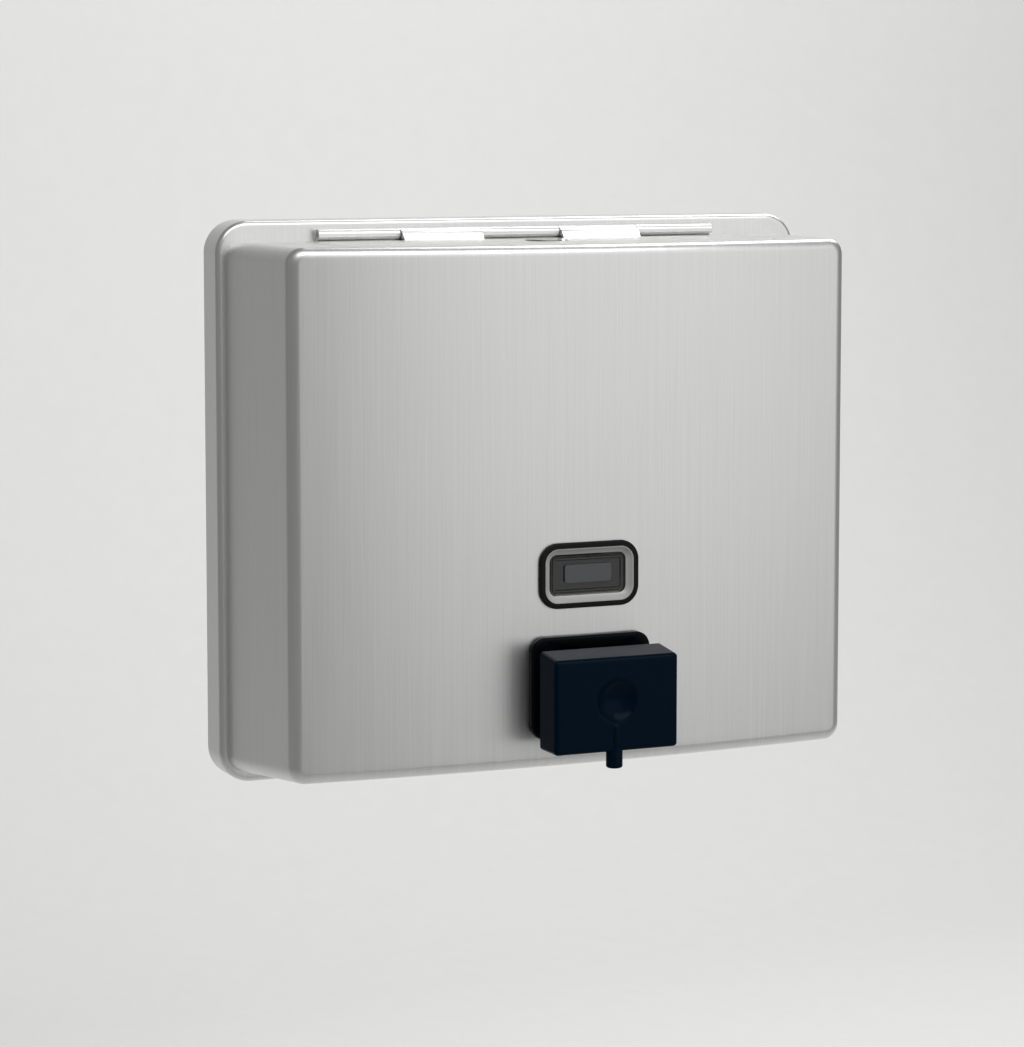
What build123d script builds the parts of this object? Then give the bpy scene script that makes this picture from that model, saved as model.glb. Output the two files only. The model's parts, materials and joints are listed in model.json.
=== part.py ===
from build123d import *
import math
import os

os.makedirs("parts", exist_ok=True)

# Wall mounted soap dispenser, millimetres.
# Frame: X to the right, Z up, Y into the wall.  The wall's surface is Y = 0 and the
# origin is the centre of the wall plate's four screw holes, on that surface.
# A "depth" below is a distance out from the wall, so depth d lies at Y = -d.

# ---------------------------------------------------------------- driving dimensions
# Body
body_width = 177.8
body_height = 155.6
sheet = 1.2
rim_depth = 11.3
rim_corner = 9.0
rim_edge = 1.5
ledge_side = 2.2
ledge_top = 5.8
ledge_bottom = 3.3
shell_corner = 4.5
face_depth = 61.0
face_bow = 7.2
draft_deg = 5.3
face_edge = 2.9

# Filler opening, lid and hinge
mouth_width = 116.0
mouth_reach = 20.0
seat_width = 8.0
seat_reach = 5.5
seat_sheet = 1.5
frame_lap = 5.0
frame_back_gap = 0.4
gasket_height = 1.5
gasket_width = 4.6
gasket_setback = 0.5
lid_gap = 0.5
lid_corner = 3.5
seat_gap = 0.2
barrel_radius = 1.6
hinge_pin_radius = 0.8
knuckle_length = 24.0
knuckle_gap = 0.2
barrel_lift = 0.1
web_thickness = 1.3
web_corner = 0.4

# Lid lock
lock_setback = 8.0
lock_face_radius = 6.0
lock_face_height = 0.4
lock_thread_radius = 4.0
lock_nut_width = 12.0
lock_nut_height = 2.6
lock_thread_end = 0.9
plug_radius = 2.6
key_slot_length = 3.6
key_slot_width = 0.9
key_slot_depth = 2.0
cam_length = 13.5
cam_width = 8.0
cam_thickness = 1.5
cam_drop = 0.7
cam_square_spare = 0.6
cam_screw_radius = 1.5
cam_screw_head = 3.0
cam_screw_head_height = 1.6

# Wall plate, hangers and locking screw
plate_sheet = 1.6
plate_width = 130.0
plate_top = 56.0
plate_bottom = -66.0
plate_corner = 6.0
screw_spacing_x = 100.0
screw_spacing_z = 80.0
screw_hole_radius = 2.75
hook_spacing = 80.0
hook_width = 28.0
hook_reach = 6.4
hook_rise = 6.0
hanger_width = 24.0
hanger_rise = 14.0
hanger_leg_gap = 0.8
hanger_foot_lift = 2.0
lock_tab_width = 24.0
lock_tab_reach = 8.6
locking_screw_depth = 5.2
locking_screw_radius = 2.0
locking_screw_length = 15.0
locking_screw_recess = 0.4
locking_screw_clearance = 0.3
hex_socket = 2.0
screw_nut_width = 7.0
screw_nut_height = 3.2

# Level window
window_z = -17.6
window_width = 29.4
window_height = 17.9
window_corner = 5.4
gasket_ring = 1.5
gasket_web = 0.75
gasket_proud = 1.0
gasket_back_lap = 1.4
gasket_back_thickness = 1.2
lens_setback = 0.2
lens_thickness = 4.2
lens_border = 2.6
lens_dish = 1.6
lens_pad_width = 13.8
lens_pad_height = 4.9
lens_pad_rise = 0.5
retainer_thickness = 1.2
retainer_lap = 2.2

# Valve housing and its fixing
valve_z = -47.9
flange_width = 35.2
flange_height = 27.9
flange_corner = 4.0
flange_proud = 2.3
flange_edge = 0.8
shank_skirt = 6.0
shank_wall = 2.9
housing_wall = 4.7
hole_clearance = 0.2
ring_nut_wall = 3.5
ring_nut_height = 5.2
ring_nut_notches = 6
ring_nut_notch_width = 4.0
ring_nut_notch_depth = 1.5
housing_gasket_height = 2.0
housing_gasket_lap = 4.0

# Push button
button_width = 36.2
button_thickness = 10.2
button_top_back = 11.5
button_top_front = 10.3
button_bottom = 15.2
button_edge = 1.1
dish_radius = 5.8
dish_depth = 2.3
dish_drop = 1.4
neck_radius = 10.0
neck_gap = 0.1
neck_wall = 2.4
neck_length = 11.0
boss_radius = 4.0
boss_length = 5.3
button_stroke = 6.0
stroke_gap = 0.1
neck_end_gap = 0.7

# Spout
nub_radius = 2.25
nub_setback = 1.9
nub_drop = 4.6
nub_shank_radius = 1.9
nub_shank_length = 4.0
rib_radius = 2.3
rib_lap = 0.4
channel_radius = 1.2
channel_setback = 6.0
duckbill_length = 3.4
duckbill_radius = 1.1

# Pump
rod_radius = 2.5
rod_bore = 1.2
rod_socket = 4.0
rod_end_cap = 0.6
running_gap = 0.05
cylinder_wall = 2.0
cylinder_bore = 7.2
cylinder_length = 21.0
cylinder_floor = 3.0
piston_gap = 0.3
piston_rest_gap = 0.6
piston_length = 5.0
seal_groove_depth = 1.6
seal_length = 3.0
seal_lip = 0.8
o_ring_section = 0.9
inlet_cap_radius = 4.6
inlet_cap_thickness = 0.9
inlet_stem_radius = 1.2
inlet_stem_head = 1.7
inlet_hole_radius = 0.9
inlet_hole_circle = 3.1
inlet_holes = 5
spring_wire = 1.0
spring_radius = 5.7
spring_turns = 7.0
spring_end_gap = 0.1

# ---------------------------------------------------------------- derived sizes
shell_width = body_width - 2 * ledge_side
shell_height = body_height - ledge_top - ledge_bottom
shell_top = body_height / 2 - ledge_top
shell_middle = shell_top - shell_height / 2
draft = math.tan(math.radians(draft_deg))
face_half = shell_width / 2 - draft * (face_depth - face_bow - rim_depth)
bow_radius = (face_half**2 + face_bow**2) / (2 * face_bow)
pan_floor = rim_depth - sheet

barrel_depth = rim_depth + barrel_radius + knuckle_gap
barrel_z = shell_top + barrel_radius + barrel_lift
cutout_back = barrel_depth + barrel_radius + lid_gap
seat_top = shell_top - sheet - gasket_height - seat_gap
cutout_reach = mouth_reach + 2 * seat_reach
cutout_width = mouth_width + 2 * seat_width
seal_width = mouth_width + 2 * (gasket_width + gasket_setback)
seal_reach = mouth_reach + 2 * (gasket_width + gasket_setback)
mouth_depth = cutout_back + cutout_reach / 2
frame_back = rim_depth + frame_back_gap
frame_front = cutout_back + cutout_reach + frame_lap
lock_depth = mouth_depth + mouth_reach / 2 - lock_setback
lock_bottom = shell_top - sheet - lock_nut_height - lock_thread_end
cam_top = seat_top - seat_sheet - cam_drop

lens_width = window_width - 2 * gasket_ring
lens_height = window_height - 2 * gasket_ring
lens_corner = window_corner - gasket_ring
gasket_front = face_depth + gasket_proud
lens_front = gasket_front - lens_setback
lens_back = lens_front - lens_thickness
gasket_back = face_depth - sheet - gasket_back_thickness

flange_front = face_depth + flange_proud
button_back_depth = flange_front + button_stroke + stroke_gap
button_front_depth = button_back_depth + button_thickness
nub_depth = button_front_depth - nub_setback
channel_depth = button_front_depth - channel_setback
bore_floor_depth = button_back_depth - neck_length - button_stroke - neck_end_gap
wall_back_depth = bore_floor_depth - housing_wall
shank_back_depth = wall_back_depth - shank_skirt
cylinder_back_depth = wall_back_depth - cylinder_length
piston_front_depth = wall_back_depth - piston_rest_gap
gasket_seat = face_depth - sheet - housing_gasket_height
bore_radius = neck_radius + neck_gap
shank_radius = bore_radius + shank_wall
ring_nut_radius = shank_radius + ring_nut_wall
housing_gasket_radius = shank_radius + housing_gasket_lap
cylinder_radius = cylinder_bore + cylinder_wall
piston_radius = cylinder_bore - piston_gap
seal_groove_floor = piston_radius - seal_groove_depth
cam_square = 2 * cam_screw_radius + cam_square_spare
cylinder_floor_front = cylinder_back_depth + cylinder_floor
rod_front = button_back_depth + rod_socket
rod_back = piston_front_depth - piston_length + rod_end_cap
button_low = valve_z - button_bottom


def at_depth(depth):
    """Plane parallel to the wall, a distance out from it, facing the room."""
    return Plane.XZ.offset(depth)


def shell_block(inset):
    """Solid that fills the shell's outline, drawn in by an inset on all but the open back."""
    far_depth = face_depth + 2.0
    shrink = draft * (far_depth - rim_depth)
    with BuildPart() as block:
        with BuildSketch(at_depth(rim_depth)):
            with Locations((0, shell_middle)):
                RectangleRounded(
                    shell_width - 2 * inset, shell_height - 2 * inset, shell_corner - inset
                )
        with BuildSketch(at_depth(far_depth)):
            with Locations((0, shell_middle + shrink / 2)):
                RectangleRounded(
                    shell_width - 2 * shrink - 2 * inset,
                    shell_height - shrink - 2 * inset,
                    shell_corner - inset,
                )
        loft()
        with BuildSketch(Plane.XY.offset(-body_height)):
            with Locations((0, bow_radius - face_depth)):
                Circle(bow_radius - inset)
        extrude(amount=2 * body_height, mode=Mode.INTERSECT)
        face = block.faces().sort_by(Axis.Y)[0]
        fillet(face.edges(), face_edge - inset)
    return block.part


shell_outer = shell_block(0)
shell_inner = shell_block(sheet)


def finish(part, name):
    """Name a finished piece and write it out."""
    part.label = name
    export_step(part, f"parts/{name}.step")
    print(f"{name}: {len(part.solids())} solid(s), {part.volume:.0f} mm3")


# ---------------------------------------------------------------- body
# Shallow tray with its open side to the wall; the shell stands on its floor.
with BuildPart() as back_pan:
    with BuildSketch(at_depth(0)):
        RectangleRounded(body_width, body_height, rim_corner)
    extrude(amount=rim_depth)
    fillet(back_pan.faces().sort_by(Axis.Y)[0].edges(), rim_edge)
    with BuildSketch(at_depth(0)):
        RectangleRounded(body_width - 2 * sheet, body_height - 2 * sheet, rim_corner - sheet)
    extrude(amount=pan_floor, mode=Mode.SUBTRACT)
    with BuildSketch(Plane.XY.offset(-body_height / 2)):
        with Locations((0, -locking_screw_depth)):
            Circle(locking_screw_radius + locking_screw_clearance)
    extrude(amount=sheet, mode=Mode.SUBTRACT)
finish(back_pan.part, "back_pan")

# One drawn shell: draft on both sides and the bottom, a level top for the lid.
with BuildPart() as tank_shell:
    add(shell_outer)
    add(shell_inner, mode=Mode.SUBTRACT)
    with BuildSketch(Plane.XY.offset(shell_top - 2 * sheet)):
        with Locations((0, -mouth_depth)):
            RectangleRounded(cutout_width, cutout_reach, lid_corner + lid_gap)
    extrude(amount=3 * sheet, mode=Mode.SUBTRACT)
    with BuildSketch(at_depth(face_depth - 3 * sheet)):
        with Locations((0, window_z)):
            RectangleRounded(
                lens_width + 2 * gasket_web,
                lens_height + 2 * gasket_web,
                lens_corner + gasket_web,
            )
        with Locations((0, valve_z)):
            Circle(shank_radius + hole_clearance)
    extrude(amount=6 * sheet, mode=Mode.SUBTRACT)
finish(tank_shell.part, "tank_shell")

# ---------------------------------------------------------------- filler opening
# Frame under the top: its rim is welded to the sheet, its ledge carries the seal.
with BuildPart() as filler_frame:
    with BuildSketch(Plane.XY.offset(seat_top - seat_sheet)):
        with Locations((0, -(frame_back + frame_front) / 2)):
            Rectangle(cutout_width + 2 * frame_lap, frame_front - frame_back)
    extrude(amount=shell_top - sheet - seat_top + seat_sheet)
    with BuildSketch(Plane.XY.offset(seat_top)):
        with Locations((0, -mouth_depth)):
            RectangleRounded(cutout_width, cutout_reach, lid_corner + lid_gap)
    extrude(amount=gasket_height + sheet, mode=Mode.SUBTRACT)
    with BuildSketch(Plane.XY.offset(seat_top - seat_sheet)):
        with Locations((0, -mouth_depth)):
            RectangleRounded(mouth_width, mouth_reach, lid_corner)
    extrude(amount=seat_sheet, mode=Mode.SUBTRACT)
finish(filler_frame.part, "filler_frame")

with BuildPart() as lid_gasket:
    with BuildSketch(Plane.XY.offset(seat_top)):
        with Locations((0, -mouth_depth)):
            RectangleRounded(seal_width, seal_reach, lid_corner)
            RectangleRounded(
                seal_width - 2 * gasket_width,
                seal_reach - 2 * gasket_width,
                lid_corner - 1.0,
                mode=Mode.SUBTRACT,
            )
    extrude(amount=gasket_height)
finish(lid_gasket.part, "lid_gasket")

# Hinge knuckles stand in the corner between the level top and the pan's rim:
# fixed ones at both ends and in the middle, the lid's two between them.
knuckle_pitch = knuckle_length + knuckle_gap
fixed_places = [-2 * knuckle_pitch, 0, 2 * knuckle_pitch]
lid_places = [-knuckle_pitch, knuckle_pitch]
barrel_y = -barrel_depth

with BuildPart() as hinge_knuckles:
    for place in fixed_places:
        with BuildSketch(Plane.YZ.offset(place - knuckle_length / 2)):
            with Locations((barrel_y, barrel_z)):
                Circle(barrel_radius)
            with BuildLine():
                Polyline(
                    (-rim_depth, shell_top),
                    (-rim_depth, barrel_z),
                    (barrel_y, barrel_z),
                    (barrel_y, shell_top),
                    close=True,
                )
            make_face()
            with Locations((barrel_y, barrel_z)):
                Circle(hinge_pin_radius + running_gap, mode=Mode.SUBTRACT)
        extrude(amount=knuckle_length)
finish(hinge_knuckles.part, "hinge_knuckles")

pin_length = 5 * knuckle_length + 4 * knuckle_gap
with BuildPart() as hinge_pin:
    with BuildSketch(Plane.YZ.offset(-pin_length / 2)):
        with Locations((barrel_y, barrel_z)):
            Circle(hinge_pin_radius)
    extrude(amount=pin_length)
    chamfer(hinge_pin.edges().filter_by(GeomType.CIRCLE), 0.2)
finish(hinge_pin.part, "hinge_pin")

# Flush lid, its back edge rolled up over the top into two knuckles.
lid_back = cutout_back + lid_gap
lid_width = cutout_width - 2 * lid_gap
lid_reach = cutout_reach - 2 * lid_gap
lid_under = shell_top - sheet
with BuildPart() as filler_lid:
    with BuildSketch(Plane.XY.offset(lid_under)):
        with Locations((0, -mouth_depth)):
            RectangleRounded(lid_width, lid_reach, lid_corner)
        with Locations((0, -lock_depth)):
            Circle(lock_thread_radius + running_gap, mode=Mode.SUBTRACT)
    extrude(amount=sheet)
    for place in lid_places:
        with BuildSketch(Plane.YZ.offset(place - knuckle_length / 2)):
            with BuildLine():
                Polyline(
                    (barrel_y, barrel_z - web_thickness),
                    (-lid_back, barrel_z - web_thickness),
                    (-lid_back, lid_under),
                    (-lid_back - web_thickness - web_corner, lid_under),
                    (-lid_back - web_thickness - web_corner, shell_top),
                    (-lid_back - web_corner / 2, barrel_z + web_corner),
                    (barrel_y, barrel_z + barrel_radius),
                    close=True,
                )
            make_face()
            with Locations((barrel_y, barrel_z)):
                Circle(barrel_radius)
                Circle(hinge_pin_radius + running_gap, mode=Mode.SUBTRACT)
        extrude(amount=knuckle_length)
finish(filler_lid.part, "filler_lid")

# ---------------------------------------------------------------- lid lock
lock_place = (0, -lock_depth)
with BuildPart() as lock_body:
    with BuildSketch(Plane.XY.offset(lock_bottom)):
        with Locations(lock_place):
            Circle(lock_thread_radius)
    extrude(amount=shell_top - lock_bottom)
    with BuildSketch(Plane.XY.offset(shell_top)):
        with Locations(lock_place):
            Circle(lock_face_radius)
    extrude(amount=lock_face_height)
    chamfer(lock_body.faces().sort_by(Axis.Z)[-1].edges(), 0.2)
    with BuildSketch(Plane.XY.offset(lock_bottom)):
        with Locations(lock_place):
            Circle(plug_radius + running_gap)
    extrude(amount=shell_top + lock_face_height - lock_bottom, mode=Mode.SUBTRACT)
finish(lock_body.part, "lock_body")

with BuildPart() as lock_nut:
    with BuildSketch(Plane.XY.offset(lid_under - lock_nut_height)):
        with Locations(lock_place):
            RegularPolygon(lock_nut_width / 2, 6, major_radius=False, rotation=30)
            Circle(lock_thread_radius + running_gap, mode=Mode.SUBTRACT)
    extrude(amount=lock_nut_height)
finish(lock_nut.part, "lock_nut")

plug_top = shell_top + lock_face_height
plug_bottom = cam_top - cam_thickness
with BuildPart() as lock_plug:
    with BuildSketch(Plane.XY.offset(cam_top)):
        with Locations(lock_place):
            Circle(plug_radius)
    extrude(amount=plug_top - cam_top)
    with BuildSketch(Plane.XY.offset(plug_bottom)):
        with Locations(lock_place):
            Rectangle(cam_square, cam_square)
    extrude(amount=cam_thickness)
    with BuildSketch(Plane.XY.offset(plug_top - key_slot_depth)):
        with Locations(lock_place):
            SlotOverall(key_slot_length, key_slot_width)
    extrude(amount=key_slot_depth, mode=Mode.SUBTRACT)
    with BuildSketch(Plane.XY.offset(plug_bottom)):
        with Locations(lock_place):
            Circle(cam_screw_radius)
    extrude(amount=4 * cam_thickness, mode=Mode.SUBTRACT)
finish(lock_plug.part, "lock_plug")

# Cam stands across the mouth when the lock is open and turns a quarter to the front.
with BuildPart() as lock_cam:
    with BuildSketch(Plane.XY.offset(plug_bottom)):
        with Locations((cam_length / 2 - cam_width / 4, -lock_depth)):
            RectangleRounded(cam_length + cam_width / 2, cam_width, cam_width / 2 - 0.1)
        with Locations(lock_place):
            Rectangle(cam_square, cam_square, mode=Mode.SUBTRACT)
    extrude(amount=cam_thickness)
finish(lock_cam.part, "lock_cam")

with BuildPart() as cam_screw:
    with BuildSketch(Plane.XY.offset(plug_bottom - cam_screw_head_height)):
        with Locations(lock_place):
            Circle(cam_screw_head)
    extrude(amount=cam_screw_head_height)
    fillet(cam_screw.faces().sort_by(Axis.Z)[0].edges(), 0.5)
    with BuildSketch(Plane.XY.offset(plug_bottom)):
        with Locations(lock_place):
            Circle(cam_screw_radius)
    extrude(amount=3 * cam_thickness)
    with BuildSketch(Plane.XY.offset(plug_bottom - cam_screw_head_height)):
        with Locations(lock_place):
            Rectangle(2 * cam_screw_head, key_slot_width)
    extrude(amount=cam_screw_head_height / 2, mode=Mode.SUBTRACT)
finish(cam_screw.part, "cam_screw")

# ---------------------------------------------------------------- wall mounting
# Plate against the wall: two hooks turned out and up, one tab turned out below.
plate_middle = (plate_top + plate_bottom) / 2
plate_height = plate_top - plate_bottom
with BuildPart() as wall_plate:
    with BuildSketch(at_depth(0)):
        with Locations((0, plate_middle)):
            RectangleRounded(plate_width, plate_height, plate_corner)
        with GridLocations(screw_spacing_x, screw_spacing_z, 2, 2):
            Circle(screw_hole_radius, mode=Mode.SUBTRACT)
    extrude(amount=plate_sheet)
    for side in (-1, 1):
        with BuildSketch(Plane.YZ.offset(side * hook_spacing / 2 - hook_width / 2)):
            with BuildLine():
                Polyline(
                    (0, plate_top - plate_sheet),
                    (-hook_reach, plate_top - plate_sheet),
                    (-hook_reach, plate_top + hook_rise),
                    (-hook_reach + plate_sheet, plate_top + hook_rise),
                    (-hook_reach + plate_sheet, plate_top),
                    (0, plate_top),
                    close=True,
                )
            make_face()
        extrude(amount=hook_width)
    with BuildSketch(Plane.XY.offset(plate_bottom)):
        with Locations((0, -lock_tab_reach / 2)):
            Rectangle(lock_tab_width, lock_tab_reach)
        with Locations((0, -locking_screw_depth)):
            Circle(locking_screw_radius + locking_screw_clearance, mode=Mode.SUBTRACT)
    extrude(amount=plate_sheet)
finish(wall_plate.part, "wall_plate")

# Brackets welded inside the pan; each hangs its turned-down leg behind a hook.
leg_front = hook_reach - plate_sheet - hanger_leg_gap
leg_back = leg_front - plate_sheet
with BuildPart() as hanger_brackets:
    for side in (-1, 1):
        with BuildSketch(Plane.YZ.offset(side * hook_spacing / 2 - hanger_width / 2)):
            with BuildLine():
                Polyline(
                    (-pan_floor, plate_top + hanger_foot_lift),
                    (-pan_floor, plate_top + hanger_rise),
                    (-leg_back, plate_top + hanger_rise),
                    (-leg_back, plate_top),
                    (-leg_front, plate_top),
                    (-leg_front, plate_top + hanger_rise - plate_sheet),
                    (-pan_floor + plate_sheet, plate_top + hanger_rise - plate_sheet),
                    (-pan_floor + plate_sheet, plate_top + hanger_foot_lift),
                    close=True,
                )
            make_face()
        extrude(amount=hanger_width)
finish(hanger_brackets.part, "hanger_brackets")

screw_low = -body_height / 2 + locking_screw_recess
screw_place = (0, -locking_screw_depth)
with BuildPart() as locking_screw:
    with BuildSketch(Plane.XY.offset(screw_low)):
        with Locations(screw_place):
            Circle(locking_screw_radius)
    extrude(amount=locking_screw_length)
    chamfer(locking_screw.faces().sort_by(Axis.Z)[-1].edges(), 0.6)
    with BuildSketch(Plane.XY.offset(screw_low)):
        with Locations(screw_place):
            RegularPolygon(hex_socket / 2, 6, major_radius=False)
    extrude(amount=2.0, mode=Mode.SUBTRACT)
finish(locking_screw.part, "locking_screw")

with BuildPart() as screw_nut:
    with BuildSketch(Plane.XY.offset(-body_height / 2 + sheet)):
        with Locations(screw_place):
            RegularPolygon(screw_nut_width / 2, 6, major_radius=False)
            Circle(locking_screw_radius + running_gap, mode=Mode.SUBTRACT)
    extrude(amount=screw_nut_height)
finish(screw_nut.part, "screw_nut")

# ---------------------------------------------------------------- level window
# Rubber ring: a lip on the face, a web through the sheet and a wider lip inside.
# The two lips follow the bowed sheet.
with BuildPart() as back_lip:
    with BuildSketch(at_depth(gasket_back)):
        with Locations((0, window_z)):
            RectangleRounded(
                window_width + 2 * gasket_back_lap,
                window_height + 2 * gasket_back_lap,
                window_corner + gasket_back_lap,
            )
    extrude(amount=2 * gasket_back_thickness)
    add(shell_inner, mode=Mode.INTERSECT)

with BuildPart() as window_gasket:
    with BuildSketch(at_depth(face_depth - 2.0)):
        with Locations((0, window_z)):
            RectangleRounded(window_width, window_height, window_corner)
    extrude(amount=gasket_front - face_depth + 2.0)
    fillet(window_gasket.faces().sort_by(Axis.Y)[0].edges(), 0.5)
    add(shell_outer, mode=Mode.SUBTRACT)
    with BuildSketch(at_depth(gasket_back)):
        with Locations((0, window_z)):
            RectangleRounded(
                lens_width + 2 * gasket_web, lens_height + 2 * gasket_web, lens_corner + gasket_web
            )
    extrude(amount=face_depth - gasket_back)
    add(back_lip.part)
    with BuildSketch(at_depth(gasket_back)):
        with Locations((0, window_z)):
            RectangleRounded(lens_width, lens_height, lens_corner)
    extrude(amount=gasket_front - gasket_back, mode=Mode.SUBTRACT)
finish(window_gasket.part, "window_gasket")

# Clear block with a sloping border down to a sunk pane, and a low pad in its middle.
with BuildPart() as window_lens:
    with BuildSketch(at_depth(lens_back)):
        with Locations((0, window_z)):
            RectangleRounded(lens_width, lens_height, lens_corner)
    extrude(amount=lens_thickness)
    with BuildSketch(at_depth(lens_front)):
        with Locations((0, window_z)):
            RectangleRounded(lens_width - 0.6, lens_height - 0.6, lens_corner - 0.3)
    with BuildSketch(at_depth(lens_front - lens_dish)):
        with Locations((0, window_z)):
            RectangleRounded(lens_width - 2 * lens_border, lens_height - 2 * lens_border, 2.0)
    loft(mode=Mode.SUBTRACT)
    with BuildSketch(at_depth(lens_front - lens_dish)):
        with Locations((0, window_z)):
            RectangleRounded(lens_pad_width, lens_pad_height, 0.8)
    extrude(amount=lens_pad_rise)
finish(window_lens.part, "window_lens")

with BuildPart() as window_retainer:
    with BuildSketch(at_depth(lens_back - retainer_thickness)):
        with Locations((0, window_z)):
            RectangleRounded(window_width + 1, window_height + 1, window_corner)
            RectangleRounded(
                lens_width - 2 * retainer_lap,
                lens_height - 2 * retainer_lap,
                2.0,
                mode=Mode.SUBTRACT,
            )
    extrude(amount=gasket_back - lens_back + retainer_thickness)
    with BuildSketch(at_depth(lens_back)):
        with Locations((0, window_z)):
            RectangleRounded(lens_width + 0.1, lens_height + 0.1, lens_corner)
    extrude(amount=gasket_back - lens_back, mode=Mode.SUBTRACT)
finish(window_retainer.part, "window_retainer")

# ---------------------------------------------------------------- valve housing
valve_place = (0, valve_z)
with BuildPart() as valve_housing:
    with BuildSketch(at_depth(face_depth - 2.0)):
        with Locations(valve_place):
            RectangleRounded(flange_width, flange_height, flange_corner)
    extrude(amount=flange_front - face_depth + 2.0)
    fillet(valve_housing.faces().sort_by(Axis.Y)[0].edges(), flange_edge)
    add(shell_outer, mode=Mode.SUBTRACT)
    with BuildSketch(at_depth(shank_back_depth)):
        with Locations(valve_place):
            Circle(shank_radius)
    extrude(amount=face_depth - shank_back_depth + 1.0)
    with BuildSketch(at_depth(bore_floor_depth)):
        with Locations(valve_place):
            Circle(bore_radius)
    extrude(amount=flange_front - bore_floor_depth, mode=Mode.SUBTRACT)
    with BuildSketch(at_depth(shank_back_depth)):
        with Locations(valve_place):
            Circle(cylinder_radius + running_gap)
    extrude(amount=wall_back_depth - shank_back_depth, mode=Mode.SUBTRACT)
    with BuildSketch(at_depth(wall_back_depth)):
        with Locations(valve_place):
            Circle(rod_radius + running_gap)
    extrude(amount=bore_floor_depth - wall_back_depth, mode=Mode.SUBTRACT)
    groove_middle = (wall_back_depth + bore_floor_depth) / 2
    with BuildSketch(at_depth(groove_middle - o_ring_section)):
        with Locations(valve_place):
            Circle(rod_radius + running_gap + 2 * o_ring_section)
    extrude(amount=2 * o_ring_section, mode=Mode.SUBTRACT)
finish(valve_housing.part, "valve_housing")

with BuildPart() as rod_seal:
    seal_middle = rod_radius + running_gap + o_ring_section
    with BuildSketch(Plane.YZ):
        with Locations((-groove_middle, valve_z + seal_middle)):
            Circle(o_ring_section)
    revolve(axis=Axis((0, 0, valve_z), (0, 1, 0)))
finish(rod_seal.part, "rod_seal")

with BuildPart() as housing_gasket:
    with BuildSketch(at_depth(gasket_seat)):
        with Locations(valve_place):
            Circle(housing_gasket_radius)
    extrude(amount=2 * housing_gasket_height)
    add(shell_inner, mode=Mode.INTERSECT)
    with BuildSketch(at_depth(gasket_seat)):
        with Locations(valve_place):
            Circle(shank_radius + running_gap)
    extrude(amount=2 * housing_gasket_height, mode=Mode.SUBTRACT)
finish(housing_gasket.part, "housing_gasket")

with BuildPart() as housing_nut:
    with BuildSketch(at_depth(gasket_seat - ring_nut_height)):
        with Locations(valve_place):
            Circle(ring_nut_radius)
            Circle(shank_radius + running_gap, mode=Mode.SUBTRACT)
            with PolarLocations(ring_nut_radius, ring_nut_notches):
                Rectangle(2 * ring_nut_notch_depth, ring_nut_notch_width, mode=Mode.SUBTRACT)
    extrude(amount=ring_nut_height)
finish(housing_nut.part, "housing_nut")

# ---------------------------------------------------------------- pump
with BuildPart() as pump_cylinder:
    with BuildSketch(at_depth(cylinder_back_depth)):
        with Locations(valve_place):
            Circle(cylinder_radius)
    extrude(amount=wall_back_depth - cylinder_back_depth)
    with BuildSketch(at_depth(cylinder_floor_front)):
        with Locations(valve_place):
            Circle(cylinder_bore)
    extrude(amount=wall_back_depth - cylinder_floor_front, mode=Mode.SUBTRACT)
    with BuildSketch(at_depth(cylinder_back_depth)):
        with Locations(valve_place):
            Circle(inlet_stem_radius + running_gap)
            with PolarLocations(inlet_hole_circle, inlet_holes):
                Circle(inlet_hole_radius)
    extrude(amount=cylinder_floor, mode=Mode.SUBTRACT)
finish(pump_cylinder.part, "pump_cylinder")

# Rubber mushroom: its cap covers the inlet holes from inside the chamber.
with BuildPart() as inlet_valve:
    with BuildSketch(at_depth(cylinder_floor_front)):
        with Locations(valve_place):
            Circle(inlet_cap_radius)
    extrude(amount=inlet_cap_thickness)
    with BuildSketch(at_depth(cylinder_back_depth)):
        with Locations(valve_place):
            Circle(inlet_stem_radius)
    extrude(amount=cylinder_floor)
    with BuildSketch(at_depth(cylinder_back_depth - 1.2)):
        with Locations(valve_place):
            Circle(inlet_stem_head)
    extrude(amount=1.2)
finish(inlet_valve.part, "inlet_valve")

piston_back_depth = piston_front_depth - piston_length
seal_middle_depth = (piston_front_depth + piston_back_depth) / 2
with BuildPart() as piston:
    with BuildSketch(at_depth(piston_back_depth)):
        with Locations(valve_place):
            Circle(piston_radius)
            Circle(rod_bore, mode=Mode.SUBTRACT)
    extrude(amount=piston_length)
    with BuildSketch(at_depth(seal_middle_depth - seal_length / 2)):
        with Locations(valve_place):
            Circle(piston_radius)
            Circle(seal_groove_floor, mode=Mode.SUBTRACT)
    extrude(amount=seal_length, mode=Mode.SUBTRACT)
    with BuildSketch(at_depth(rod_back)):
        with Locations(valve_place):
            Circle(rod_radius)
    extrude(amount=piston_front_depth - rod_back, mode=Mode.SUBTRACT)
finish(piston.part, "piston")

# U-section ring, open towards the pumping chamber.
seal_outer = cylinder_bore - running_gap
seal_back = seal_middle_depth - seal_length / 2
with BuildPart() as piston_seal:
    with BuildSketch(at_depth(seal_back)):
        with Locations(valve_place):
            Circle(seal_outer)
            Circle(seal_groove_floor, mode=Mode.SUBTRACT)
    extrude(amount=seal_length)
    with BuildSketch(at_depth(seal_back)):
        with Locations(valve_place):
            Circle(seal_outer - seal_lip / 2)
            Circle(seal_groove_floor + seal_lip, mode=Mode.SUBTRACT)
    extrude(amount=seal_length * 0.6, mode=Mode.SUBTRACT)
finish(piston_seal.part, "piston_seal")

with BuildPart() as plunger_rod:
    with BuildSketch(at_depth(rod_back)):
        with Locations(valve_place):
            Circle(rod_radius)
            Circle(rod_bore, mode=Mode.SUBTRACT)
    extrude(amount=rod_front - rod_back)
finish(plunger_rod.part, "plunger_rod")

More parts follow.
